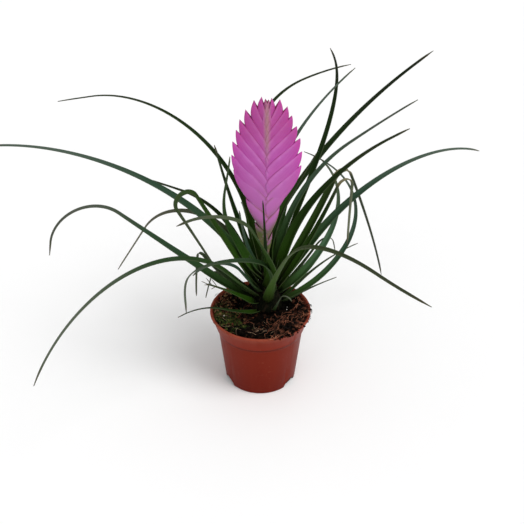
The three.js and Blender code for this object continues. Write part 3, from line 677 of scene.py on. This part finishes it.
blade = bpy.data.node_groups.new("blade_pattern", "ShaderNodeTree")
for name, kind in (("Body", "Color"), ("Pale And Sheen", "Color"), ("Outer", "Color"), ("Dried At", "Float")):
    blade.interface.new_socket(name, in_out="INPUT", socket_type="NodeSocket" + kind)
for name, kind in (("Colour", "Color"), ("Gloss", "Float"), ("Height", "Float")):
    blade.interface.new_socket(name, in_out="OUTPUT", socket_type="NodeSocket" + kind)
given = blade.nodes.new("NodeGroupInput")
in_mm = add_node(blade, "UVMap", uv_map="blade_mm").outputs["UV"]
in_share = add_node(blade, "UVMap", uv_map="blade_share").outputs["UV"]
share = add_node(blade, "SeparateXYZ", {"Vector": in_share})
across, along = share.outputs["X"], share.outputs["Y"]
veins = add_node(blade, "TexNoise", {"Vector": scaled(blade, in_mm, (2.6, 0.03, 1)), "Scale": 1.0,
                                     "Detail": 4.0}).outputs["Fac"]
clouds = add_node(blade, "TexNoise", {"Vector": scaled(blade, in_mm, (0.16, 0.035, 1)), "Scale": 1.0,
                                      "Detail": 3.0}).outputs["Fac"]
vein_mask = ranged(blade, veins, 0.42, 0.66)
cloud_mask = ranged(blade, clouds, 0.36, 0.68)
# pale stripes and clouds: partly the leaf's own pale scales, partly painted sheen and highlights along the
# blade
pale = reckoned(blade, "ADD", reckoned(blade, "MULTIPLY", vein_mask, 0.6),
                reckoned(blade, "MULTIPLY", cloud_mask, 0.5))
outer = ranged(blade, along, 0.45, 0.85, 0.0, 0.85, "SMOOTHSTEP")
lower = ranged(blade, along, 0.45, 0.06, 0.0, 0.7, "SMOOTHSTEP")
# painted shade: each blade darkens towards near black at its foot, deep in the crown
crown_shade = ranged(blade, along, 0.16, 0.02, 0.0, 0.42, "SMOOTHSTEP")
base_streak = reckoned(blade, "MULTIPLY", ranged(blade, along, 0.15, 0.0, 0.0, 0.7), vein_mask)
off_kink = reckoned(blade, "ABSOLUTE", reckoned(blade, "SUBTRACT", along, given.outputs["Dried At"]))
at_kink = ranged(blade, off_kink, 0.055, 0.02, 0.0, 0.85, "SMOOTHSTEP")
at_tip = ranged(blade, along, 0.93, 1.0)
off_middle = reckoned(blade, "ABSOLUTE", reckoned(blade, "SUBTRACT", across, 0.5))
at_margin = reckoned(blade, "MULTIPLY", ranged(blade, off_middle, 0.44, 0.5), 0.3)
colour = given.outputs["Body"]
for mask, tint in ((pale, given.outputs["Pale And Sheen"]), (outer, given.outputs["Outer"]),
                   (lower, (0.030, 0.080, 0.006)), (crown_shade, (0.005, 0.011, 0.001)),
                   (base_streak, (0.032, 0.014, 0.008)),
                   (at_kink, (0.21, 0.18, 0.10)), (at_tip, (0.075, 0.060, 0.035)),
                   (at_margin, (0.095, 0.115, 0.060))):
    colour = blended(blade, mask, colour, tint)
done = blade.nodes.new("NodeGroupOutput")
blade.links.new(colour, done.inputs["Colour"])
blade.links.new(ranged(blade, clouds, 0.0, 1.0, 0.38, 0.60), done.inputs["Gloss"])
blade.links.new(veins, done.inputs["Height"])


def leaf_material(name, body, pale, outer, dried_at):
    """One side of a leaf, in its own colours."""
    material, tree, shader = new_material(name, Specular_IOR_Level=0.06)
    group = tree.nodes.new("ShaderNodeGroup")
    group.node_tree = blade
    for key, colour in (("Body", body), ("Pale And Sheen", pale), ("Outer", outer)):
        group.inputs[key].default_value = (*colour, 1)
    group.inputs["Dried At"].default_value = dried_at
    tree.links.new(group.outputs["Colour"], shader.inputs["Base Color"])
    tree.links.new(group.outputs["Gloss"], shader.inputs["Roughness"])
    roughen(tree, shader, group.outputs["Height"], 0.35, 0.0004)
    return material


leaf_looks = {}
for name, (upper, under, outer, dried_at) in LEAF_COLOURS.items():
    # the paler tint of the stripes and clouds, partly painted sheen
    between = tuple(0.55 * a + 0.45 * b for a, b in zip(upper, under))
    leaf_looks[name] = (
        leaf_material("leaf_" + name, upper, between, outer, dried_at),
        leaf_material("leaf_" + name + "_under", under, tuple(1.35 * c for c in under), outer, dried_at),
    )


def mix_of(a, b, share):
    """A number that share of the way from a to b."""
    return a + (b - a) * share


def blade_taper(s):
    """Width of a blade at a place along it, as a share of its named width: broad low down, then slender."""
    return BROADER * mix_of(TIP_SHARE, 1, (1 - s) ** TAPER) * min(1.0, ((1 - s) / 0.05 + 0.02) ** 0.6)


def leaf_places(start, end, count):
    """Places along a leaf from 0 to 1, closer together where it bends."""
    pace = 1 + BEND_SHARE / (end - start)
    for k in range(count + 1):
        spent = k / count * (1 + BEND_SHARE)
        if spent <= start:
            yield spent
        elif spent < end + BEND_SHARE:
            yield start + (spent - start) / pace
        else:
            yield min(1.0, spent - BEND_SHARE)


def foot_radius(stem_radius, width, rise):
    """How far out the middle of a leaf's foot stands, so that its folded sides just clear the stem."""
    clear = stem_radius + STEM_CLEARANCE
    arm = width * FOOT_WIDTH_SHARE / 2
    out = arm * math.sin(math.radians(FOLD_AT_BASE)) * math.sin(math.radians(rise))
    aside = arm * math.cos(math.radians(FOLD_AT_BASE))
    lean = math.atan2(out, aside)
    if clear * math.tan(lean) < math.hypot(out, aside):
        return clear / math.cos(lean)
    return out + math.sqrt(clear * clear - aside * aside)


def leaf_frames(order, length, width, bearing, swing, rise, droop, start, end, turn_low, turn_tip, full):
    """Middle point, across and up directions, half width, fold and place, for each station of a leaf."""
    young = order / (len(LEAVES) - 1)
    foot = foot_radius(mix_of(STEM_FOOT_RADIUS, STEM_TOP_RADIUS, young), width, rise)
    out = math.radians(bearing)
    at = Vector((CROWN_X + foot * math.cos(out), CROWN_Y + foot * math.sin(out),
                 mix_of(STEM_FOOT_HEIGHT + 1, STEM_TOP_HEIGHT, young)))

    def forward(s):
        """Direction of growth at a place along the leaf."""
        bent = min(1.0, max(0.0, (s - start) / (end - start)))
        pitch, heading = math.radians(rise - droop * bent), math.radians(bearing + swing * s)
        level = Vector((math.cos(heading), math.sin(heading), 0)) * math.cos(pitch)
        return level + Vector((0, 0, math.sin(pitch)))

    s, frames = 0.0, []
    for place in leaf_places(start, end, LEAF_ALONG):
        step = (place - s) / STEPS_BETWEEN
        for k in range(STEPS_BETWEEN):
            at = at + forward(s + step * (k + 0.5)) * step * length
        s = place
        heading = math.radians(bearing + swing * s)
        across = Vector((-math.sin(heading), math.cos(heading), 0))
        turn = mix_of(turn_low, turn_tip, s) * min(1.0, s / TURNS_BY)
        over = Matrix.Rotation(math.radians(turn), 3, forward(s))
        half = width * full * blade_taper(s) / 2
        fold = math.radians(mix_of(FOLD_ALONG, FOLD_AT_BASE, (1 - s) ** FOLD_OPENS))
        frames.append((at.copy(), over @ across, over @ forward(s).cross(across), half, fold, s))
    return frames


for order, (*shape, look) in enumerate(LEAVES):
    frames = leaf_frames(order, *shape)
    bm = bmesh.new()
    in_mm, in_share = bm.loops.layers.uv.new("blade_mm"), bm.loops.layers.uv.new("blade_share")
    bmesh.ops.create_grid(bm, x_segments=LEAF_ALONG, y_segments=LEAF_ACROSS, size=1, calc_uvs=False)
    for face in bm.faces:
        for loop in face.loops:
            at, across, up, half, fold, s = frames[round((loop.vert.co.x + 1) / 2 * LEAF_ALONG)]
            loop[in_mm].uv = (loop.vert.co.y * half + PATTERN_SHIFT * order, s * shape[0])
            loop[in_share].uv = (loop.vert.co.y / 2 + 0.5, s)
    for vert in bm.verts:
        at, across, up, half, fold, s = frames[round((vert.co.x + 1) / 2 * LEAF_ALONG)]
        side = vert.co.y
        raised = abs(side) ** CHANNEL_ROUNDNESS * math.sin(fold)
        vert.co = (at + across * side * half * math.cos(fold) + up * raised * half) * MM
    bmesh.ops.recalc_face_normals(bm, faces=bm.faces)
    if bm.faces[0].normal.dot(frames[0][2]) < 0:
        bmesh.ops.reverse_faces(bm, faces=bm.faces)
    leaf = object_from(bm, f"leaf_blade_{order + 1:02d}", *leaf_looks[look])
    wall = leaf.modifiers.new("thickness", "SOLIDIFY")
    wall.thickness, wall.offset = LEAF_THICKNESS * MM, 0
    wall.material_offset, wall.material_offset_rim = 1, 0
    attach(leaf, "root")
    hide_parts(f"leaf_{order + 1:02d}")


# Dried twig. The tip of one low leaf at the left has withered into a few thin brittle brown forks, which
# grow out of the leaf's last stretch.
LEAF_WITH_TWIG = 7
TWIG_RADIUS = 0.32
twig_brown = mottled_material("dried_leaf", 0.8, 0.1, 300.0, 0.35, 0.65,
                              (0.0, (0.045, 0.040, 0.020)), (1.0, (0.16, 0.12, 0.07)))
end = leaf_frames(LEAF_WITH_TWIG, *LEAVES[LEAF_WITH_TWIG][:-1])[-4]
onward, sideways = end[1].cross(end[2]), end[1]
curve = thread_curve("dried_twig", TWIG_RADIUS, 1)
# how far back from the tip a fork starts, how far it leans sideways and up, and its length
for back, side, up, long in ((0, 0.15, 0.3, 7), (2, 0.9, 0.5, 6.5), (4, -0.9, 0.3, 6), (7, 1.1, 0.1, 5),
                             (9, -0.7, 0.6, 5.5)):
    at = end[0] - onward * back
    along = (onward + sideways * side + Vector((0, 0, up))) * long
    thread(curve, [tuple(at + along * n / 4) for n in range(5)], 1)
twig = mesh_of_curve(curve, "dried_twig", twig_brown)
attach(twig, "root")


# Flower stalk. The short round stalk, green with brown streaks, that grows from the top of the stem and
# carries the spike up out of the innermost leaves.
STALK_RADIUS = 2.2
STALK_FOOT, STALK_TOP = 97, 117.7
stalk_tissue, tree, shader = new_material("stalk_tissue", roughness=0.5, Specular_IOR_Level=0.15)
fibre = mottle_mask(tree, scaled(tree, object_place(tree), (1, 1, 0.15)), 700.0, 0.35, 0.65)
stalk_colour = ramp(tree, fibre, (0.0, (0.05, 0.085, 0.02)), (1.0, (0.13, 0.10, 0.05)))
tree.links.new(stalk_colour, shader.inputs["Base Color"])
bm = turned([(0, STALK_FOOT), (STALK_RADIUS - 0.3, STALK_FOOT), (STALK_RADIUS, STALK_FOOT + 0.4),
             (STALK_RADIUS - 0.15, STALK_FOOT + 11), (STALK_RADIUS, STALK_TOP - 0.5),
             (STALK_RADIUS - 0.4, STALK_TOP), (0, STALK_TOP)], 32, CROWN_X, CROWN_Y)
stalk = object_from(bm, "flower_stalk_stem", stalk_tissue)
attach(stalk, "root")
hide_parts("flower_stalk")


# Flower spike. Two ranks of stiff boat-shaped bracts, each folded on its outer edge and wrapped round
# the axis from below, so that each lower one laps over the next above; hot pink, paler towards the thin
# dark margins, greenish at the foot. The pale band and the dark margin are partly the bracts' own colour,
# partly painted highlight and a painted shadow line.
SPIKE_FOOT = 118
AXIS_X = 5.5
SPIKE_HALF_WIDTH = 29
PADDLE_MIDDLE, PADDLE_EDGE = 3.4, 0.35
BRACT_ALONG, BRACT_ROUND = 28, 24
MARGIN_CURVE, KEEL_CURVE = 0.66, 0.94
KEEL_RUN, BLUNT_TIP = 22, 0.6
LAP, BELLY = 1.0, 0.5
TOP_PAIR_TIP = 2
BRACT_THICKNESS = 0.45
# tip's distance from the axis, its height, how far the free margin drops to the axis, how round the
# keel is, and how far the keel swells out past the tip; from the top down
RIGHT_BRACTS = [
    (1.4, 269.2, 18, 1, 2.0), (3.6, 270.6, 18, 1, 3.2), (10.2, 269.6, 26, 1, 3.0),
    (16.2, 263.4, 27, 1, 2.0), (20, 255.6, 27, 1, 1.4), (24, 246.2, 27, 1, 1.0),
    (27, 235.4, 28, 1, 0.7), (28.6, 223.4, 29, 0.95, 0.5), (28.4, 210.6, 30, 0.8, 0.4),
    (18.8, 192.4, 17, 0.6, 0.3), (10.6, 170.5, 13, 0.7, 0.2), (4.6, 145.2, 10, 0.8, 0.2),
]
LEFT_BRACTS = [
    (1.4, 269.8, 19, 1, 2.0), (4.4, 271.6, 20, 1, 3.6), (10.4, 269, 30, 1, 3.2),
    (17.2, 260.8, 33, 1, 1.8), (22, 252.2, 35, 1, 1.2), (25, 243, 37, 1, 0.8),
    (28, 232.6, 37, 1, 0.5), (29, 220.4, 36, 0.95, 0.4), (27.6, 206.6, 29, 0.8, 0.3),
    (17.4, 178.8, 16, 0.75, 0.3), (10, 155.3, 12, 0.8, 0.2),
]

bract_pink, tree, shader = new_material("bract_pink", roughness=0.5, Specular_IOR_Level=0.15,
                                        Subsurface_Weight=0.1, Subsurface_Scale=0.004)
place = object_place(tree)
bract_uv = add_node(tree, "UVMap", uv_map="bract_share").outputs["UV"]
share = add_node(tree, "SeparateXYZ", {"Vector": bract_uv})
to_tip, from_keel = share.outputs["X"], share.outputs["Y"]
spot = add_node(tree, "SeparateXYZ", {"Vector": place})
height = spot.outputs["Z"]
fan = add_node(tree, "TexNoise", {"Vector": scaled(tree, bract_uv, (1.2, 34, 1)), "Scale": 1.0,
                                  "Detail": 3.0}).outputs["Fac"]
blush = mottle_mask(tree, place, 90.0, 0.35, 0.68)
veins = ranged(tree, fan, 0.45, 0.7, 0.0, 0.45)
at_tip = ranged(tree, to_tip, 0.62, 1.0, 0.0, 0.75, "SMOOTHSTEP")
up_high = ranged(tree, height, 0.216, 0.252, 0.0, 0.5, "SMOOTHSTEP")
paling = ranged(tree, height, 0.225, 0.165, 0.0, 0.65, "SMOOTHSTEP")
off_axis = reckoned(tree, "ABSOLUTE", reckoned(tree, "SUBTRACT", spot.outputs["X"], AXIS_X * MM))
near_axis = ranged(tree, off_axis, 0.0038, 0.0002, kind="SMOOTHSTEP")
upper_third = ramp(tree, ranged(tree, height, 0.21, 0.275), (0.0, (0, 0, 0)), (0.35, (0.5, 0.5, 0.5)),
                   (0.75, (0.6, 0.6, 0.6)), (1.0, (0.3, 0.3, 0.3)))
cream = reckoned(tree, "MULTIPLY", near_axis, upper_third)
low_margin = reckoned(tree, "MULTIPLY", ranged(tree, height, 0.198, 0.165, 0.0, 0.6),
                      ranged(tree, from_keel, 0.84, 0.97))
greenish = reckoned(tree, "MULTIPLY", ranged(tree, height, 0.161, 0.131, 0.0, 1.7),
                    ranged(tree, blush, 0.0, 1.0, 1.25, 0.3), clamped=True)
low_keel = reckoned(tree, "MULTIPLY", ranged(tree, from_keel, 0.70, 0.05, kind="SMOOTHSTEP"),
                    ranged(tree, height, 0.184, 0.144, 0.0, 0.75, "SMOOTHSTEP"))
# Across each bract from keel to margin: a paler band just inside the margin, partly painted highlight, and
# a thin dark edge at the margin, partly a painted shadow line.
colour = ramp(tree, from_keel, (0.0, (0.50, 0.050, 0.35)), (0.35, (0.45, 0.060, 0.34)),
              (0.72, (0.49, 0.10, 0.40)), (0.88, (0.57, 0.17, 0.50)), (0.94, (0.52, 0.13, 0.42)),
              (0.975, (0.27, 0.030, 0.16)), (1.0, (0.22, 0.025, 0.12)))
for mask, tint in ((reckoned(tree, "MULTIPLY", blush, 0.5), (0.40, 0.060, 0.32)),
                   (veins, (0.52, 0.13, 0.43)), (at_tip, (0.60, 0.075, 0.43)),
                   (up_high, (0.37, 0.045, 0.19)), (paling, (0.50, 0.17, 0.45)),
                   (cream, (0.40, 0.26, 0.19)), (low_margin, (0.20, 0.085, 0.045)),
                   (greenish, (0.090, 0.104, 0.030)), (low_keel, (0.15, 0.145, 0.055))):
    colour = blended(tree, mask, colour, tint)
tree.links.new(colour, shader.inputs["Base Color"])
roughen(tree, shader, fan, 0.35, 0.0006)


def bract(name, side, tip, height, drop, roundness, swell):
    """One bract: a grid whose middle line is the fold, the keel, and whose two sides are the margins."""
    at_top = tip < TOP_PAIR_TIP
    axis_height = height - drop
    foot_height = max(SPIKE_FOOT, axis_height - KEEL_RUN)
    crossing, crossing_fades = (3.8, 0.7) if at_top else (1.2, 3)
    margin_share = 0.92 if at_top else 1
    bm = bmesh.new()
    in_share = bm.loops.layers.uv.new("bract_share")
    bmesh.ops.create_grid(bm, x_segments=BRACT_ALONG, y_segments=BRACT_ROUND, size=1, calc_uvs=False)
    for face in bm.faces:
        for loop in face.loops:
            loop[in_share].uv = ((loop.vert.co.x + 1) / 2, abs(loop.vert.co.y) * margin_share)
    for vert in bm.verts:
        t, q = (vert.co.x + 1) / 2, abs(vert.co.y)
        keel_x = tip * mix_of(t, math.sin(t * math.pi / 2), roundness)
        keel_x += swell * math.sin(math.pi * t ** 2.2)
        margin_x = tip * t - crossing * (1 - t) ** crossing_fades
        keel_z = mix_of(foot_height, height - BLUNT_TIP, t ** KEEL_CURVE)
        margin_z = mix_of(axis_height, height, mix_of(t ** MARGIN_CURVE, t ** 4, 0.05))
        x, z = mix_of(keel_x, margin_x, q), mix_of(keel_z, margin_z, q)
        half = mix_of(PADDLE_MIDDLE, PADDLE_EDGE, min(1.0, abs(x) / SPIKE_HALF_WIDTH))
        lap = LAP * q * (1 - 0.8 * t)
        belly = BELLY * math.sin(math.pi * t) * math.sin(math.pi * q) * (1 - 0.6 * t)
        closing = math.sqrt(max(0.0, 1 - (1 - min(1.0, q / 0.2)) ** 2))
        depth = (half + lap + belly) * closing * (1 - 0.7 * t ** 4)
        depth = depth if vert.co.y > 0 else -depth
        vert.co = Vector((AXIS_X + side * x, CROWN_Y + depth, z)) * MM
    bmesh.ops.remove_doubles(bm, verts=bm.verts, dist=1e-6)
    bmesh.ops.recalc_face_normals(bm, faces=bm.faces)
    piece = object_from(bm, name, bract_pink)
    wall = piece.modifiers.new("thickness", "SOLIDIFY")
    wall.thickness, wall.offset = BRACT_THICKNESS * MM, 0
    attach(piece, "root")
    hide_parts("flower_spike")


for side, rank, rows in ((1, "right", RIGHT_BRACTS), (-1, "left", LEFT_BRACTS)):
    for k, row in enumerate(rows):
        bract(f"bract_{rank}_{k + 1:02d}", side, *row)
bm = turned([(0, SPIKE_FOOT), (2.4, SPIKE_FOOT), (3.2, 150), (3.0, 200), (1.6, 238), (0.4, 243),
             (0, 243.2)], 24, AXIS_X, CROWN_Y)
axis = object_from(bm, "spike_axis", bract_pink)
axis.data.uv_layers.new(name="bract_share")
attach(axis, "root")
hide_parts("flower_spike")
